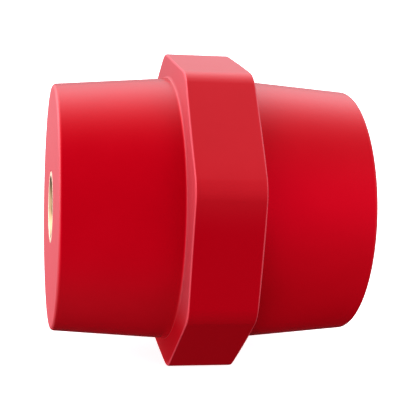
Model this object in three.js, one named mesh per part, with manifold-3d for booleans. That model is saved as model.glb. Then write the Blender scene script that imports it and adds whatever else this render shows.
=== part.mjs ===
// Drum-type standoff insulator for busbars: a moulded drum with an eight-sided wrench belt and
// a blind threaded brass insert flush in each end. Millimetres, +Z up. The drum lies along X on
// one flat of its belt, and the origin is under its centre.

import * as THREE from 'three';
import { mergeVertices } from 'three/addons/utils/BufferGeometryUtils.js';
import Module from 'manifold-3d';

const wasm = await Module();
wasm.setup();

// Moulded drum
const LENGTH = 40;
const END_DIAMETER = 32.8;
const ROOT_DIAMETER = 35.2;
const END_EDGE_RADIUS = 0.5;
const ROOT_FILLET = 0.4;

// Wrench belt
const BELT_SIDES = 8;
const ACROSS_FLATS = 40;
const BELT_ROOT_WIDTH = 9.3;
const FLANK_DRAFT = 0.25;
const BELT_CORNER_RADIUS = 4;
const BELT_EDGE_RADIUS = 0.25;

// Threaded insert: M8 coarse, cut with its minor diameter
const THREAD_MINOR_DIAMETER = 6.65;
const THREAD_DEPTH = 11.5;
const DRILL_POINT_DEPTH = 1.9;
const MOUTH_DIAMETER = 8.5;
const NECK_DIAMETER = 9.6;
const NECK_LENGTH = 2;
const KNURL_DIAMETER = 12.4;
const KNURL_TOOTH_DEPTH = 0.5;
const KNURL_TEETH = 24;
const KNURL_LENGTH = 4;
const GROOVE_DIAMETER = 10.4;
const GROOVE_LENGTH = 2;
const TAIL_DIAMETER = 10.4;
const TAIL_CHAMFER = 0.8;
const INSERT_LENGTH = 14.6;
const MOULDING_GAP = 0.3;

// Smoothness
const DRUM_SEGMENTS = 72;
const INSERT_SEGMENTS = 48;
const ARC_STEPS = 3;

const HALF_LENGTH = LENGTH / 2;
const HALF_BELT = BELT_ROOT_WIDTH / 2;
const ROOT_RADIUS = ROOT_DIAMETER / 2;
const DRAFT_ANGLE = Math.atan((ROOT_DIAMETER - END_DIAMETER) / 2 / (HALF_LENGTH - HALF_BELT));
const HALF_CORNER = Math.PI / BELT_SIDES;
const CORNER_REACH = (ACROSS_FLATS / 2 - BELT_CORNER_RADIUS) / Math.cos(HALF_CORNER) + BELT_CORNER_RADIUS;
const FILLET_CENTRE = ROOT_RADIUS + ROOT_FILLET / Math.cos(DRAFT_ANGLE) - ROOT_FILLET * Math.tan(DRAFT_ANGLE);

function solid(geometry) {
  const bare = geometry.clone();
  bare.deleteAttribute('normal');
  bare.deleteAttribute('uv');
  const merged = mergeVertices(bare, 1e-4);
  const mesh = new wasm.Mesh({
    numProp: 3,
    vertProperties: new Float32Array(merged.attributes.position.array),
    triVerts: new Uint32Array(merged.index.array),
  });
  return new wasm.Manifold(mesh);
}

function geometryOf(manifold) {
  const mesh = manifold.getMesh();
  const geometry = new THREE.BufferGeometry();
  geometry.setAttribute('position', new THREE.BufferAttribute(new Float32Array(mesh.vertProperties), 3));
  geometry.setIndex(new THREE.BufferAttribute(new Uint32Array(mesh.triVerts), 1));
  geometry.computeVertexNormals();
  return geometry;
}

// Points of an arc in a profile whose x is the radius and whose y is the place along the drum.
function arc(centreRadius, centreAlong, radius, fromAngle, toAngle) {
  const points = [];
  for (let step = 0; step <= ARC_STEPS; step += 1) {
    const angle = fromAngle + ((toAngle - fromAngle) * step) / ARC_STEPS;
    points.push(new THREE.Vector2(
      centreRadius + radius * Math.cos(angle),
      centreAlong + radius * Math.sin(angle),
    ));
  }
  return points;
}

// A profile turned about the drum's axis, which LatheGeometry holds along Y.
function turned(profile, segments) {
  return new THREE.LatheGeometry(profile, segments).rotateZ(-Math.PI / 2);
}

// The pocket that the insert fills, from its floor on the axis to the end face.
function pocketProfile() {
  const neck = NECK_DIAMETER / 2 + MOULDING_GAP;
  const band = KNURL_DIAMETER / 2 + MOULDING_GAP;
  const groove = GROOVE_DIAMETER / 2 + MOULDING_GAP;
  const tail = TAIL_DIAMETER / 2 + MOULDING_GAP;
  const firstBand = HALF_LENGTH - NECK_LENGTH + MOULDING_GAP;
  const firstBandEnd = HALF_LENGTH - NECK_LENGTH - KNURL_LENGTH - MOULDING_GAP;
  const secondBand = firstBandEnd - GROOVE_LENGTH + 2 * MOULDING_GAP;
  const secondBandEnd = secondBand - KNURL_LENGTH - 2 * MOULDING_GAP;
  const floor = HALF_LENGTH - INSERT_LENGTH - MOULDING_GAP;
  return [
    new THREE.Vector2(0, floor),
    new THREE.Vector2(tail, floor),
    new THREE.Vector2(tail, secondBandEnd),
    new THREE.Vector2(band, secondBandEnd),
    new THREE.Vector2(band, secondBand),
    new THREE.Vector2(groove, secondBand),
    new THREE.Vector2(groove, firstBandEnd),
    new THREE.Vector2(band, firstBandEnd),
    new THREE.Vector2(band, firstBand),
    new THREE.Vector2(neck, firstBand),
    new THREE.Vector2(neck, HALF_LENGTH),
  ];
}

// End edge, drafted cone and root fillet of one half, ending just inside the belt.
function coneProfile() {
  const edgeAlong = HALF_LENGTH - END_EDGE_RADIUS;
  const edgeCentre = END_DIAMETER / 2
    + END_EDGE_RADIUS * Math.tan(DRAFT_ANGLE)
    - END_EDGE_RADIUS / Math.cos(DRAFT_ANGLE);
  return [
    ...arc(edgeCentre, edgeAlong, END_EDGE_RADIUS, Math.PI / 2, DRAFT_ANGLE),
    ...arc(FILLET_CENTRE, HALF_BELT + ROOT_FILLET, ROOT_FILLET, Math.PI + DRAFT_ANGLE, 1.5 * Math.PI),
    new THREE.Vector2(FILLET_CENTRE, HALF_BELT - BELT_EDGE_RADIUS),
  ];
}

function mirrored(profile) {
  return profile.map((point) => new THREE.Vector2(point.x, -point.y)).reverse();
}

function drumCore() {
  const half = [...pocketProfile(), ...coneProfile()];
  return solid(turned([...half, ...mirrored(half)].reverse(), DRUM_SEGMENTS));
}

// Octagon with rounded corners, one flat down.
function beltOutline() {
  const outline = new THREE.Shape();
  const reach = CORNER_REACH - BELT_CORNER_RADIUS;
  for (let corner = 0; corner < BELT_SIDES; corner += 1) {
    const angle = HALF_CORNER * (2 * corner + 1);
    outline.absarc(
      reach * Math.cos(angle),
      reach * Math.sin(angle),
      BELT_CORNER_RADIUS,
      angle - HALF_CORNER,
      angle + HALF_CORNER,
      false,
    );
  }
  return outline;
}

// The belt's flanks lean in by the draft between the cone and the corners.
function flankDisc() {
  const profile = [
    new THREE.Vector2(0, HALF_BELT),
    new THREE.Vector2(FILLET_CENTRE, HALF_BELT),
    new THREE.Vector2(CORNER_REACH, HALF_BELT - FLANK_DRAFT),
    new THREE.Vector2(CORNER_REACH + BELT_EDGE_RADIUS, HALF_BELT - FLANK_DRAFT),
  ];
  return solid(turned([...profile, ...mirrored(profile)].reverse(), DRUM_SEGMENTS));
}

function belt() {
  const flat = BELT_ROOT_WIDTH - FLANK_DRAFT - 2 * BELT_EDGE_RADIUS;
  const prism = new THREE.ExtrudeGeometry(beltOutline(), {
    depth: flat,
    bevelThickness: BELT_EDGE_RADIUS,
    bevelSize: BELT_EDGE_RADIUS,
    bevelOffset: -BELT_EDGE_RADIUS,
    bevelSegments: 2,
    curveSegments: ARC_STEPS,
  });
  prism.translate(0, 0, -flat / 2);
  prism.rotateY(Math.PI / 2);
  return solid(prism).intersect(flankDisc());
}

function mouldedBody() {
  const material = new THREE.MeshStandardMaterial({ color: 0xb3000f, roughness: 0.38, metalness: 0 });
  const mesh = new THREE.Mesh(geometryOf(drumCore().add(belt())), material);
  mesh.name = 'moulded_body';
  return mesh;
}

// The turned insert with its mouth at y = 0 and its tail towards -y, then laid along X.
function insertCore() {
  const minor = THREAD_MINOR_DIAMETER / 2;
  const mouth = MOUTH_DIAMETER / 2;
  const neck = NECK_DIAMETER / 2;
  const band = KNURL_DIAMETER / 2 - KNURL_TOOTH_DEPTH;
  const groove = GROOVE_DIAMETER / 2;
  const tail = TAIL_DIAMETER / 2;
  const bandEnd = NECK_LENGTH + KNURL_LENGTH;
  const secondBand = bandEnd + GROOVE_LENGTH;
  const secondBandEnd = secondBand + KNURL_LENGTH;
  const profile = [
    new THREE.Vector2(0, -THREAD_DEPTH - DRILL_POINT_DEPTH),
    new THREE.Vector2(minor, -THREAD_DEPTH),
    new THREE.Vector2(minor, minor - mouth),
    new THREE.Vector2(mouth, 0),
    new THREE.Vector2(neck, 0),
    new THREE.Vector2(neck, -NECK_LENGTH),
    new THREE.Vector2(band, -NECK_LENGTH),
    new THREE.Vector2(band, -bandEnd),
    new THREE.Vector2(groove, -bandEnd),
    new THREE.Vector2(groove, -secondBand),
    new THREE.Vector2(band, -secondBand),
    new THREE.Vector2(band, -secondBandEnd),
    new THREE.Vector2(tail, -secondBandEnd),
    new THREE.Vector2(tail, TAIL_CHAMFER - INSERT_LENGTH),
    new THREE.Vector2(tail - TAIL_CHAMFER, -INSERT_LENGTH),
    new THREE.Vector2(0, -INSERT_LENGTH),
  ];
  return solid(turned(profile.reverse(), INSERT_SEGMENTS));
}

// One band of straight knurling whose teeth grip the moulding, starting at the given depth.
function knurlBand(depth) {
  const teeth = new THREE.Shape();
  const crest = KNURL_DIAMETER / 2;
  for (let point = 0; point < 2 * KNURL_TEETH; point += 1) {
    const angle = (Math.PI * point) / KNURL_TEETH;
    const radius = point % 2 === 0 ? crest : crest - KNURL_TOOTH_DEPTH;
    const place = [radius * Math.cos(angle), radius * Math.sin(angle)];
    if (point === 0) {
      teeth.moveTo(...place);
    } else {
      teeth.lineTo(...place);
    }
  }
  teeth.closePath();
  const bore = new THREE.Path();
  bore.absarc(0, 0, GROOVE_DIAMETER / 2 - MOULDING_GAP, 0, 2 * Math.PI, false);
  teeth.holes.push(bore);
  const band = new THREE.ExtrudeGeometry(teeth, {
    depth: KNURL_LENGTH,
    bevelEnabled: false,
    curveSegments: KNURL_TEETH,
  });
  band.rotateY(-Math.PI / 2);
  band.translate(-depth, 0, 0);
  return solid(band);
}

function threadedInsert(name, side) {
  const material = new THREE.MeshStandardMaterial({ color: 0xc9a25a, roughness: 0.3, metalness: 1 });
  const brass = insertCore()
    .add(knurlBand(NECK_LENGTH))
    .add(knurlBand(NECK_LENGTH + KNURL_LENGTH + GROOVE_LENGTH));
  const mesh = new THREE.Mesh(geometryOf(brass), material);
  mesh.name = name;
  mesh.position.x = side * HALF_LENGTH;
  mesh.rotation.z = side > 0 ? 0 : Math.PI;
  return mesh;
}

const insulator = new THREE.Group();
insulator.add(mouldedBody());
insulator.add(threadedInsert('threaded_insert_left', -1));
insulator.add(threadedInsert('threaded_insert_right', 1));
insulator.position.z = ACROSS_FLATS / 2;

export default insulator;
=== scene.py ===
"""Looks of a drum-type standoff insulator for busbars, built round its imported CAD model.

The drum lies along X on one flat of its octagonal belt, and the floor is at z = 0. Sizes are in
millimetres where they are named, and become metres through MM.
"""

import math

import bmesh
import bpy
from mathutils import Matrix, Quaternion, Vector


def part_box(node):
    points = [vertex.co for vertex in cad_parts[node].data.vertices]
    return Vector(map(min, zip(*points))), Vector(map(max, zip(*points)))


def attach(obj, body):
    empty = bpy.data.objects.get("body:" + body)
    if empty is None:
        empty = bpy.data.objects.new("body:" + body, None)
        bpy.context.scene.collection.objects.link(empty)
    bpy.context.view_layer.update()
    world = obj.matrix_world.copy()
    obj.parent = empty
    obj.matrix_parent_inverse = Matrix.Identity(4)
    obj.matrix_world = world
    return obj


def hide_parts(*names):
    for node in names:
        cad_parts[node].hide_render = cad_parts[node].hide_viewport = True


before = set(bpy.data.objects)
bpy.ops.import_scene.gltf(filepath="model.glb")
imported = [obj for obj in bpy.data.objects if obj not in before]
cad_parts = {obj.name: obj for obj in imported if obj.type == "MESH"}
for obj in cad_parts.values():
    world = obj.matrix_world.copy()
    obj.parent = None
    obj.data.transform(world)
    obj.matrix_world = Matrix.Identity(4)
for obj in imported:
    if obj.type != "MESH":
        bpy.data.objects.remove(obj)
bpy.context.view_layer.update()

MM = 0.001

# How close two points are to be one, in metres
WELD = 1e-7
THREAD_WELD = 1e-6
CUT_WELD = 1e-8

# Moulded drum
END_DIAMETER = 32.8
ROOT_DIAMETER = 35.2
END_EDGE_RADIUS = 0.5
END_EDGE_STEPS = 8
ROOT_FILLET = 0.4
ROOT_FILLET_STEPS = 6
POCKET_CLEARANCE = 0.02
DRUM_STEPS = 192
DRUM_SHARP_ANGLE = math.radians(40)

# Wrench belt
BELT_SIDES = 8
BELT_ROOT_WIDTH = 9.3
FLANK_DRAFT = 0.25
BELT_CORNER_RADIUS = 4
BELT_EDGE_RADIUS = 0.25
CUTS_PER_SIDE = 8
BEVEL_STEPS = 4
FLANK_FACING = 0.7

# Threaded brass insert, M8 coarse
THREAD_PITCH = 1.25
THREAD_MINOR_RADIUS = 3.325
THREAD_HEIGHT = 0.68
THREAD_CREST = 0.1
THREAD_FLANK = 0.3
THREAD_DEPTH = 11.5
THREAD_RUNOUT = 1.6
DRILL_POINT_DEPTH = 1.9
MOUTH_RADIUS = 4.25
NECK_RADIUS = 4.8
NECK_LENGTH = 2.0
KNURL_RADIUS = 6.2
KNURL_DEPTH = 0.35
KNURL_MARGIN = 0.01
KNURL_LENGTH = 4.0
KNURL_DIAMONDS = 32
KNURL_ROWS = 24
GROOVE_RADIUS = 5.2
GROOVE_LENGTH = 2.0
TAIL_RADIUS = 5.2
TAIL_CHAMFER = 0.8
TURNED_EDGE = 0.12
TURNED_EDGE_STEPS = 4
POCKET_EDGE_STEPS = 3
THREAD_STEPS = 96
THREAD_ROWS = 12
TURNING_STEPS = 192
INSERT_SHARP_ANGLE = math.radians(35)

drum_low, drum_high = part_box("moulded_body")
insert_low, insert_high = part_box("threaded_insert_left")
HALF_LENGTH = (drum_high.x - drum_low.x) / 2 / MM
HALF_FLATS = (drum_high.z - drum_low.z) / 2 / MM
INSERT_LENGTH = (insert_high.x - insert_low.x) / MM
DRUM_CENTRE = (drum_low + drum_high) / 2
HALF_BELT = BELT_ROOT_WIDTH / 2
HALF_CORNER = math.pi / BELT_SIDES
CORNER_CENTRE = (HALF_FLATS - BELT_CORNER_RADIUS) / math.cos(HALF_CORNER)


# ---------------------------------------------------------------- shaping

def arc(along, radius, size, start, end, steps):
    """Points of a profile's round edge: (place along the drum, radius) about a centre."""
    angles = [start + (end - start) * step / steps for step in range(steps + 1)]
    return [(along + size * math.cos(a), radius + size * math.sin(a)) for a in angles]


def spin_profile(bm, points, steps):
    """Turns a profile of (place along the drum, radius) points once round the X axis."""
    verts = [bm.verts.new((along * MM, radius * MM, 0)) for along, radius in points]
    edges = [bm.edges.new(pair) for pair in zip(verts, verts[1:])]
    bmesh.ops.spin(
        bm,
        geom=verts + edges,
        cent=(0, 0, 0),
        axis=(1, 0, 0),
        angle=2 * math.pi,
        steps=steps,
        use_merge=True,
    )
    bmesh.ops.remove_doubles(bm, verts=bm.verts, dist=WELD)


def finished(bm, name, centre, material, sharp_angle):
    """Makes the piece's object, with its place in its mesh, and lets it ride on the frame."""
    bmesh.ops.recalc_face_normals(bm, faces=bm.faces)
    for face in bm.faces:
        face.smooth = True
    for edge in bm.edges:
        edge.smooth = edge.calc_face_angle(0) < sharp_angle
    bmesh.ops.translate(bm, verts=bm.verts, vec=centre)
    mesh = bpy.data.meshes.new(name)
    bm.to_mesh(mesh)
    bm.free()
    mesh.materials.append(material)
    piece = bpy.data.objects.new(name, mesh)
    bpy.context.scene.collection.objects.link(piece)
    shading = piece.modifiers.new("even_faces", "WEIGHTED_NORMAL")
    shading.keep_sharp = True
    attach(piece, "root")
    return piece


# ---------------------------------------------------------------- moulded drum

def pocket_profile():
    """The pocket that the insert fills, from its floor on the axis to the end face."""
    first_band = HALF_LENGTH - NECK_LENGTH
    groove = first_band - KNURL_LENGTH
    second_band = groove - GROOVE_LENGTH
    tail = second_band - KNURL_LENGTH
    floor = HALF_LENGTH - INSERT_LENGTH
    steps = [
        (floor, 0),
        (floor, TAIL_RADIUS),
        (tail, TAIL_RADIUS),
        (tail, KNURL_RADIUS),
        (second_band, KNURL_RADIUS),
        (second_band, GROOVE_RADIUS),
        (groove, GROOVE_RADIUS),
        (groove, KNURL_RADIUS),
        (first_band, KNURL_RADIUS),
        (first_band, NECK_RADIUS),
    ]
    return [(along, radius + POCKET_CLEARANCE if radius else 0) for along, radius in steps]


def cone_draft():
    return math.atan((ROOT_DIAMETER - END_DIAMETER) / 2 / (HALF_LENGTH - HALF_BELT))


def fillet_centre():
    """Radius of the centre of the round corner between a cone and the belt's flank."""
    draft = cone_draft()
    return ROOT_DIAMETER / 2 + ROOT_FILLET * (1 / math.cos(draft) - math.tan(draft))


def end_profile():
    """One end of the drum's profile, from the pocket's floor to the belt's flank."""
    draft = cone_draft()
    edge_centre = END_DIAMETER / 2 + END_EDGE_RADIUS * (math.tan(draft) - 1 / math.cos(draft))
    neck = NECK_RADIUS + POCKET_CLEARANCE
    mouth_edge = HALF_LENGTH - TURNED_EDGE
    end_edge = HALF_LENGTH - END_EDGE_RADIUS
    root = HALF_BELT + ROOT_FILLET
    quarter = math.pi / 2
    return [
        *pocket_profile(),
        *arc(mouth_edge, neck + TURNED_EDGE, TURNED_EDGE, -quarter, 0, POCKET_EDGE_STEPS),
        *arc(end_edge, edge_centre, END_EDGE_RADIUS, 0, quarter - draft, END_EDGE_STEPS),
        *arc(root, fillet_centre(), ROOT_FILLET, -quarter - draft, -math.pi, ROOT_FILLET_STEPS),
    ]


def belt_profile():
    """The belt as a disc whose flanks lean in by their draft, a little larger than its corners."""
    root = fillet_centre()
    corner_reach = CORNER_CENTRE + BELT_CORNER_RADIUS
    beyond = corner_reach + 1
    lean = FLANK_DRAFT * (beyond - root) / (corner_reach - root)
    return [
        (HALF_BELT, root),
        (HALF_BELT - lean, beyond),
        (lean - HALF_BELT, beyond),
        (-HALF_BELT, root),
    ]


def cut_flats(bm):
    """Cuts the belt's disc to an octagon whose corners are round, flat by flat and facet by facet."""
    cuts = BELT_SIDES * CUTS_PER_SIDE
    for cut in range(cuts):
        angle = 2 * math.pi * cut / cuts
        from_corner = angle % (2 * HALF_CORNER) - HALF_CORNER
        reach = CORNER_CENTRE * math.cos(from_corner) + BELT_CORNER_RADIUS
        normal = Vector((0, math.cos(angle), math.sin(angle)))
        made = bmesh.ops.bisect_plane(
            bm,
            geom=bm.verts[:] + bm.edges[:] + bm.faces[:],
            dist=WELD,
            plane_co=normal * reach * MM,
            plane_no=normal,
            clear_outer=True,
        )
        rim = [part for part in made["geom_cut"] if isinstance(part, bmesh.types.BMEdge)]
        bmesh.ops.contextual_create(bm, geom=rim)


def round_belt_edges(bm):
    """Rounds the two edges where the belt's flanks meet its flats."""
    def is_flank(face):
        return abs(face.normal.x) > FLANK_FACING

    bm.normal_update()
    least = (HALF_FLATS - BELT_EDGE_RADIUS) * MM
    edges = [
        edge for edge in bm.edges
        if len(edge.link_faces) == 2
        and is_flank(edge.link_faces[0]) != is_flank(edge.link_faces[1])
        and all(math.hypot(vert.co.y, vert.co.z) > least for vert in edge.verts)
    ]
    bmesh.ops.bevel(
        bm,
        geom=edges,
        offset=BELT_EDGE_RADIUS * MM,
        offset_type="OFFSET",
        segments=BEVEL_STEPS,
        profile=0.5,
        affect="EDGES",
        material=-1,
    )


def moulded_drum(material):
    bm = bmesh.new()
    spin_profile(bm, belt_profile(), DRUM_STEPS)
    cut_flats(bm)
    round_belt_edges(bm)
    for side in (-1, 1):
        profile = [(side * along, radius) for along, radius in end_profile()]
        spin_profile(bm, profile, DRUM_STEPS)
    drum = finished(bm, "drum", DRUM_CENTRE, material, DRUM_SHARP_ANGLE)
    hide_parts("moulded_body")
    return drum


# ---------------------------------------------------------------- brass inserts

def saw(value):
    """Distance to the nearest whole number, from 0 to 0.5."""
    return abs(value - round(value))


def thread_radius(along, angle):
    """The thread's surface at a depth below the mouth and an angle round the axis."""
    turn = along / THREAD_PITCH - angle / (2 * math.pi)
    groove = min(max(0.5 - THREAD_CREST - saw(turn), 0) / THREAD_FLANK, 1)
    runout = min(max((THREAD_DEPTH - along) / THREAD_RUNOUT, 0), 1)
    chamfer = MOUTH_RADIUS - along
    return max(THREAD_MINOR_RADIUS + THREAD_HEIGHT * groove * runout, chamfer)


def threaded_hole(bm):
    """Sweeps one turn of the bore's strip along a helix, repeats it, and raises the thread in it."""
    turns = math.ceil(THREAD_DEPTH / THREAD_PITCH) + 2
    rows = [THREAD_PITCH * (row / THREAD_ROWS - 1) for row in range(THREAD_ROWS + 1)]
    verts = [bm.verts.new((-along * MM, THREAD_MINOR_RADIUS * MM, 0)) for along in rows]
    edges = [bm.edges.new(pair) for pair in zip(verts, verts[1:])]
    bmesh.ops.spin(
        bm,
        geom=verts + edges,
        cent=(0, 0, 0),
        axis=(1, 0, 0),
        dvec=(-THREAD_PITCH * MM / THREAD_STEPS, 0, 0),
        angle=2 * math.pi,
        steps=THREAD_STEPS,
    )
    one_turn = bm.verts[:] + bm.edges[:] + bm.faces[:]
    for turn in range(1, turns):
        copy = bmesh.ops.duplicate(bm, geom=one_turn)["geom"]
        copied = [part for part in copy if isinstance(part, bmesh.types.BMVert)]
        bmesh.ops.translate(bm, verts=copied, vec=(-turn * THREAD_PITCH * MM, 0, 0))
    bmesh.ops.remove_doubles(bm, verts=bm.verts, dist=THREAD_WELD)
    for vert in bm.verts:
        radius = thread_radius(-vert.co.x / MM, math.atan2(vert.co.z, vert.co.y)) * MM
        scale = radius / math.hypot(vert.co.y, vert.co.z)
        vert.co.y *= scale
        vert.co.z *= scale
    for along, normal in ((0, 1), (THREAD_DEPTH, -1)):
        bmesh.ops.bisect_plane(
            bm,
            geom=bm.verts[:] + bm.edges[:] + bm.faces[:],
            dist=CUT_WELD,
            plane_co=(-along * MM, 0, 0),
            plane_no=(normal, 0, 0),
            clear_outer=True,
        )


def rim_at(bm, along, radius):
    """The open edges that lie at a depth below the mouth, no further out than a radius."""
    return [
        edge for edge in bm.edges
        if edge.is_boundary
        and all(abs(vert.co.x + along * MM) < THREAD_WELD for vert in edge.verts)
        and all(math.hypot(vert.co.y, vert.co.z) < radius * MM for vert in edge.verts)
    ]


def insert_outside():
    """The insert's turned outside, from the land round its mouth to the axis at its tail."""
    shoulder = NECK_LENGTH
    groove = shoulder + KNURL_LENGTH
    second_band = groove + GROOVE_LENGTH
    tail = second_band + KNURL_LENGTH

    def band(start):
        return [
            (-start - KNURL_LENGTH * row / KNURL_ROWS, KNURL_RADIUS)
            for row in range(KNURL_ROWS + 1)
        ]

    return [
        (0, MOUTH_RADIUS + TURNED_EDGE),
        *arc(
            -TURNED_EDGE, NECK_RADIUS - TURNED_EDGE, TURNED_EDGE, 0, math.pi / 2, TURNED_EDGE_STEPS
        ),
        (-shoulder, NECK_RADIUS),
        *band(shoulder),
        (-groove, GROOVE_RADIUS),
        (-second_band, GROOVE_RADIUS),
        *band(second_band),
        (-tail, TAIL_RADIUS),
        (TAIL_CHAMFER - INSERT_LENGTH, TAIL_RADIUS),
        (-INSERT_LENGTH, TAIL_RADIUS - TAIL_CHAMFER),
        (-INSERT_LENGTH, 0),
    ]


def knurl(bm):
    """Presses the diamond pattern into the insert's two bands."""
    crest = (KNURL_RADIUS - KNURL_MARGIN) * MM
    for vert in bm.verts:
        radius = math.hypot(vert.co.y, vert.co.z)
        if radius < crest:
            continue
        around = KNURL_DIAMONDS * math.atan2(vert.co.z, vert.co.y) / (2 * math.pi)
        along = KNURL_DIAMONDS * vert.co.x / (2 * math.pi * KNURL_RADIUS * MM)
        valley = 1 - 4 * min(saw(around + along), saw(around - along))
        scale = 1 - KNURL_DEPTH * MM / radius * max(valley, 0)
        vert.co.y *= scale
        vert.co.z *= scale


def threaded_insert(name, node, side, material):
    bm = bmesh.new()
    threaded_hole(bm)
    spin_profile(bm, insert_outside(), TURNING_STEPS)
    knurl(bm)
    floor = rim_at(bm, THREAD_DEPTH, NECK_RADIUS)
    point = bmesh.ops.edgeloop_fill(bm, edges=floor)["faces"]
    cone = bmesh.ops.poke(bm, faces=point)["verts"]
    bmesh.ops.translate(bm, verts=cone, vec=(-DRILL_POINT_DEPTH * MM, 0, 0))
    bmesh.ops.triangle_fill(bm, edges=rim_at(bm, 0, NECK_RADIUS), normal=(1, 0, 0))
    turn = Matrix.Rotation(0 if side > 0 else math.pi, 3, "Z")
    bmesh.ops.rotate(bm, verts=bm.verts, cent=(0, 0, 0), matrix=turn)
    mouth = DRUM_CENTRE + Vector((side * HALF_LENGTH * MM, 0, 0))
    insert = finished(bm, name, mouth, material, INSERT_SHARP_ANGLE)
    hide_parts(node)
    return insert


# ---------------------------------------------------------------- materials

FLANK_EDGE = HALF_BELT - FLANK_DRAFT

# Where the compound's finish changes, in millimetres
FILLET_BLEND = 0.15
FLANK_BLEND = 0.1
END_BLEND = 0.3
END_MARGIN = 0.02
# Widths of the painted highlight lines along the belt's edges, inside and past each edge
EDGE_HIGHLIGHT_INSIDE = 0.16
EDGE_HIGHLIGHT_OUTSIDE = 0.06
# Heights over which the belt's sheen fades downwards; below them the belt is painted a darker red as
# shade
FLAT_SHEEN_HEIGHTS = (2, 12)
FLANK_SHEEN_HEIGHTS = (-12, -5)

# The compound's colours
CONE_DEEP_RED = (0.39, 0.0, 0.0045, 1)
CONE_RED = (0.43, 0.0005, 0.006, 1)
# Painted shade: the belt's lower flats and lower flanks are painted this darker red for the shade there
UNDERSIDE_PAINTED_SHADE_RED = (0.34, 0.0, 0.004, 1)
# Painted sheen: the upper flanks are painted this paler red for the light they reflect
FLANK_PAINTED_SHEEN_RED = (0.37, 0.025, 0.035, 1)
# Painted highlight: pale lines along the belt's rounded edges for the light they catch
PAINTED_EDGE_HIGHLIGHT_RED = (0.52, 0.045, 0.06, 1)
# The end faces' paler red is partly their matt finish and partly painted highlight
END_FACE_MATT_AND_HIGHLIGHT_RED = (0.47, 0.012, 0.024, 1)

# The compound's gloss, and its grain in millimetres
POLISHED = 0.22
FLAT_DULLNESS = 0.1
MATT = 0.4
CLOUD_DULLNESS = 0.06
FLAT_COAT = 0.35
FLANK_COAT = 0.5
CLOUD_GRAIN = 6.0
CLOUD_DETAIL = 3.0
SKIN_GRAIN = 0.35
SKIN_DETAIL = 2.0
SKIN_DEPTH = 0.002

# The brass
MOUTH_BLEND = 0.08
LAND_BLEND = 0.1
BRASS_LIGHT = (0.9, 0.74, 0.56, 1)
BRASS_DARK = (0.82, 0.64, 0.44, 1)
# Painted shade: the brass inside the hole is this darker colour for the shade in the hole
BRASS_PAINTED_HOLE_SHADE = (0.34, 0.235, 0.12, 1)
TURNED = 0.3
FROSTING = 0.25
BRASS_CLOUD_DULLNESS = 0.1
BRASS_GRAIN = 1.5
BRASS_DETAIL = 3.0
TOOL_RINGS = 2.0
TOOL_RING_DEPTH = 0.004


class Value:
    """A shader socket whose arithmetic adds Math nodes."""

    def __init__(self, nodes, socket):
        self.nodes = nodes
        self.socket = socket

    def __add__(self, other):
        return self.nodes.math("ADD", self, other)

    def __radd__(self, other):
        return self.nodes.math("ADD", other, self)

    def __sub__(self, other):
        return self.nodes.math("SUBTRACT", self, other)

    def __rsub__(self, other):
        return self.nodes.math("SUBTRACT", other, self)

    def __mul__(self, other):
        return self.nodes.math("MULTIPLY", self, other)

    def __rmul__(self, other):
        return self.nodes.math("MULTIPLY", other, self)

    def __abs__(self):
        return self.nodes.math("ABSOLUTE", self)


class Nodes:
    """A node tree that is filled node by node."""

    def __init__(self, tree):
        self.tree = tree

    def add(self, kind, settings, inputs):
        """Adds a node, sets it, then fills its sockets by place or by name, and gives its outputs."""
        node = self.tree.nodes.new(kind)
        for setting, value in settings.items():
            setattr(node, setting, value)
        pairs = inputs.items() if isinstance(inputs, dict) else enumerate(inputs)
        for key, value in pairs:
            if isinstance(value, Value):
                self.tree.links.new(value.socket, node.inputs[key])
            else:
                node.inputs[key].default_value = value
        return [Value(self, socket) for socket in node.outputs]

    def math(self, operation, *values):
        return self.add("ShaderNodeMath", {"operation": operation}, values)[0]

    def step(self, value, low, high):
        """0 below one value, 1 above the other, and soft in between."""
        inputs = {"Value": value, "From Min": low, "From Max": high}
        return self.add("ShaderNodeMapRange", {"interpolation_type": "SMOOTHSTEP"}, inputs)[0]

    def blend(self, factor, first, second):
        """Mixes two colours."""
        inputs = {"Factor": factor, 6: first, 7: second}
        return self.add("ShaderNodeMix", {"data_type": "RGBA"}, inputs)[2]


class Finish(Nodes):
    """One material, with its place on the drum in millimetres."""

    def __init__(self, name, constants):
        self.material = bpy.data.materials.new(name)
        self.material.use_nodes = True
        super().__init__(self.material.node_tree)
        self.shader = self.tree.nodes["Principled BSDF"]
        for socket, value in constants.items():
            self.shader.inputs[socket].default_value = value
        object_place = self.add("ShaderNodeTexCoord", {}, [])[3]
        from_centre = self.add(
            "ShaderNodeVectorMath", {"operation": "SUBTRACT"}, [object_place, tuple(DRUM_CENTRE)]
        )[0]
        self.place = self.add(
            "ShaderNodeVectorMath", {"operation": "SCALE"}, {"Vector": from_centre, "Scale": 1 / MM}
        )[0]
        self.along, across, self.up = self.add("ShaderNodeSeparateXYZ", {}, [self.place])
        squares = across * across + self.up * self.up
        self.radius = self.math("SQRT", squares)

    def noise(self, grain, detail):
        """Cloudy variation, from 0 to 1, with patches of about a grain in millimetres."""
        inputs = {"Vector": self.place, "Scale": 1 / grain, "Detail": detail}
        return self.add("ShaderNodeTexNoise", {}, inputs)[0]

    def relief(self, height, depth):
        """Feeds a height from 0 to 1 to the surface as a bump of a depth in millimetres."""
        inputs = {"Strength": 1.0, "Distance": depth * MM, "Height": height}
        self.feed("Normal", self.add("ShaderNodeBump", {}, inputs)[0])

    def feed(self, socket, value):
        self.tree.links.new(value.socket, self.shader.inputs[socket])


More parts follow.
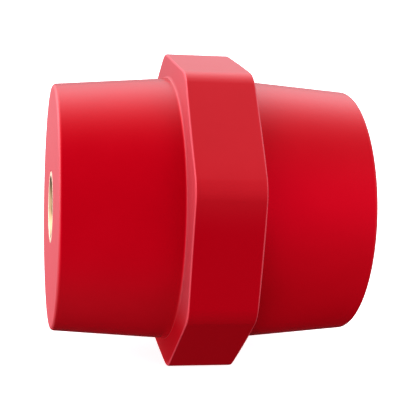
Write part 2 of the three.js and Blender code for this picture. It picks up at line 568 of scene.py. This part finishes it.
def moulding_compound():
    """Red thermoset: polished cones, plainer belt flats, and matt faces square to the drum. Painted
    light: the belt's underside is a darker red as painted shade, its upper flanks a paler red as
    painted sheen, thin pale lines along its edges are painted highlights, and the end faces are a paler
    red, partly from their matt finish and partly as painted highlight.
    """
    finish = Finish("red_moulding_compound", {
        "IOR": 1.5,
        "Specular IOR Level": 1.0,
        "Specular Tint": (1, 0, 0.03, 1),
        "Coat Roughness": 0.5,
    })
    distance = abs(finish.along)
    belt_root = ROOT_DIAMETER / 2
    belt = finish.step(finish.radius, belt_root, belt_root + FILLET_BLEND)
    outward = finish.step(distance, FLANK_EDGE - FLANK_BLEND, FLANK_EDGE)
    flank = belt * outward
    flat = belt * (1 - outward)
    end_face = finish.step(distance, HALF_LENGTH - END_BLEND, HALF_LENGTH - END_MARGIN)
    # Painted highlight: a thin band along each of the belt's rounded edges
    past_edge = finish.step(distance, FLANK_EDGE, FLANK_EDGE + EDGE_HIGHLIGHT_OUTSIDE)
    edge_highlight_ramp = finish.step(distance, FLANK_EDGE - EDGE_HIGHLIGHT_INSIDE, FLANK_EDGE - EDGE_HIGHLIGHT_INSIDE / 2)
    edge = belt * edge_highlight_ramp * (1 - past_edge)

    clouds = finish.noise(CLOUD_GRAIN, CLOUD_DETAIL)
    sheen_on_flat = flat * finish.step(finish.up, *FLAT_SHEEN_HEIGHTS)
    sheen_on_flank = flank * finish.step(finish.up, *FLANK_SHEEN_HEIGHTS)
    # Painted shade: the belt below its sheen heights is painted a darker red for the shade on its
    # underside
    painted_underside_shade = belt - sheen_on_flat - sheen_on_flank
    colour = finish.blend(clouds, CONE_DEEP_RED, CONE_RED)
    # Painted shade on the belt's underside
    colour = finish.blend(painted_underside_shade, colour, UNDERSIDE_PAINTED_SHADE_RED)
    # Painted sheen on the upper flanks
    colour = finish.blend(sheen_on_flank, colour, FLANK_PAINTED_SHEEN_RED)
    # Painted highlight lines on the belt's edges
    colour = finish.blend(edge, colour, PAINTED_EDGE_HIGHLIGHT_RED)
    # End faces: paler red, partly matt finish and partly painted highlight
    colour = finish.blend(end_face, colour, END_FACE_MATT_AND_HIGHLIGHT_RED)
    finish.feed("Base Color", colour)
    matt = MATT * end_face + 2 * MATT * flank - MATT * sheen_on_flank
    finish.feed("Roughness", POLISHED + FLAT_DULLNESS * flat + matt + CLOUD_DULLNESS * clouds)
    finish.feed("Coat Weight", FLAT_COAT * sheen_on_flat + FLANK_COAT * sheen_on_flank + end_face)
    finish.relief(finish.noise(SKIN_GRAIN, SKIN_DETAIL), SKIN_DEPTH)
    return finish.material


def insert_brass():
    """Turned brass: a frosted ring on the end face, fine tool rings, and a hole painted a darker brass
    as shade.
    """
    finish = Finish("insert_brass", {"Metallic": 1.0})
    distance = abs(finish.along)
    inside = 1 - finish.step(distance, HALF_LENGTH - MOUTH_BLEND, HALF_LENGTH - END_MARGIN)
    outer_land = finish.step(finish.radius, MOUTH_RADIUS - LAND_BLEND, MOUTH_RADIUS)
    clouds = finish.noise(BRASS_GRAIN, BRASS_DETAIL)
    rings = finish.add(
        "ShaderNodeTexWave",
        {"wave_type": "RINGS", "rings_direction": "X"},
        {"Vector": finish.place, "Scale": TOOL_RINGS, "Distortion": 0.0},
    )[1]
    fresh = finish.blend(clouds, BRASS_LIGHT, BRASS_DARK)
    # Painted shade in the hole
    colour = finish.blend(inside, fresh, BRASS_PAINTED_HOLE_SHADE)
    finish.feed("Base Color", colour)
    frosting = FROSTING * outer_land * (1 - inside)
    finish.feed("Roughness", TURNED + BRASS_CLOUD_DULLNESS * clouds + frosting)
    finish.relief(rings, TOOL_RING_DEPTH)
    return finish.material


# ---------------------------------------------------------------- studio

VIEW_AZIMUTH = 11.1
VIEW_ELEVATION = 16.29
VIEW_ROLL = 3.71
VIEW_DISTANCE = 147.8
VIEW_AIM = Vector((-1.66, 0.23, -0.31))
LENS = 92.4
SENSOR_WIDTH = 36
FRAME_SHIFT = 0.06

FLOOR_RADIUS = 6
FLOOR_GLOW = 0.85

# Soft panels of the studio: where each one stands from the drum, and how bright its middle is
SOFT_PANELS = {
    "back_left": ((-0.77, 0.41, 0.49), 5.2),
    "front_right": ((0.77, -0.55, 0.34), 3.5),
    "front_left_low": ((-0.77, -0.54, -0.35), 3.2),
    "back_right": ((0.42, 0.64, 0.64), 2.0),
    "top": ((-0.42, 0.34, 0.84), 1.3),
}
PANEL_FALLOFF = 6
PANEL_TINT = (1, 0.93, 1, 1)


def place_camera():
    azimuth = math.radians(VIEW_AZIMUTH)
    elevation = math.radians(VIEW_ELEVATION)
    back = Vector((
        -math.sin(azimuth) * math.cos(elevation),
        -math.cos(azimuth) * math.cos(elevation),
        math.sin(elevation),
    ))
    data = bpy.data.cameras.new("camera")
    data.lens = LENS
    data.sensor_width = SENSOR_WIDTH
    data.shift_x = FRAME_SHIFT
    data.clip_start = 0.01
    camera = bpy.data.objects.new("camera", data)
    camera.location = DRUM_CENTRE + VIEW_AIM * MM + back * VIEW_DISTANCE * MM
    roll = Quaternion((0, 0, 1), math.radians(VIEW_ROLL))
    camera.rotation_mode = "QUATERNION"
    camera.rotation_quaternion = (-back).to_track_quat("-Z", "Y") @ roll
    bpy.context.scene.collection.objects.link(camera)
    bpy.context.scene.camera = camera


def lay_floor():
    """A white light table: it glows by itself, so that shadows on it stay faint."""
    bm = bmesh.new()
    bmesh.ops.create_circle(bm, cap_ends=True, segments=64, radius=FLOOR_RADIUS)
    mesh = bpy.data.meshes.new("floor")
    bm.to_mesh(mesh)
    bm.free()
    finish = Finish("floor_white", {
        "Base Color": (0.9, 0.9, 0.9, 1),
        "Roughness": 1.0,
        "Specular IOR Level": 0.0,
        "Emission Color": (1, 1, 1, 1),
        "Emission Strength": FLOOR_GLOW,
    })
    mesh.materials.append(finish.material)
    floor = bpy.data.objects.new("floor", mesh)
    floor.visible_glossy = False
    floor.visible_diffuse = False
    floor.visible_shadow = False
    bpy.context.scene.collection.objects.link(floor)


def light_studio():
    """Soft glowing panels all round, each brightest in the middle, in front of white walls."""
    world = bpy.data.worlds.new("studio")
    bpy.context.scene.world = world
    world.use_nodes = True
    nodes = Nodes(world.node_tree)
    direction = nodes.add("ShaderNodeTexCoord", {}, [])[0]
    light = 0
    for towards, brightness in SOFT_PANELS.values():
        middle = tuple(Vector(towards).normalized())
        facing = nodes.add("ShaderNodeVectorMath", {"operation": "DOT_PRODUCT"}, [direction, middle])[1]
        falloff = PANEL_FALLOFF * facing - PANEL_FALLOFF
        light = light + brightness * nodes.math("EXPONENT", falloff)
    seen = nodes.add("ShaderNodeLightPath", {}, [])[0]
    tint = nodes.blend(seen, PANEL_TINT, (1, 1, 1, 1))
    background = world.node_tree.nodes["Background"]
    world.node_tree.links.new((seen + (1 - seen) * light).socket, background.inputs["Strength"])
    world.node_tree.links.new(tint.socket, background.inputs["Color"])


place_camera()
lay_floor()
light_studio()
moulded_drum(moulding_compound())
brass = insert_brass()
threaded_insert("left_insert", "threaded_insert_left", -1, brass)
threaded_insert("right_insert", "threaded_insert_right", 1, brass)
bpy.context.scene.view_settings.view_transform = "Standard"
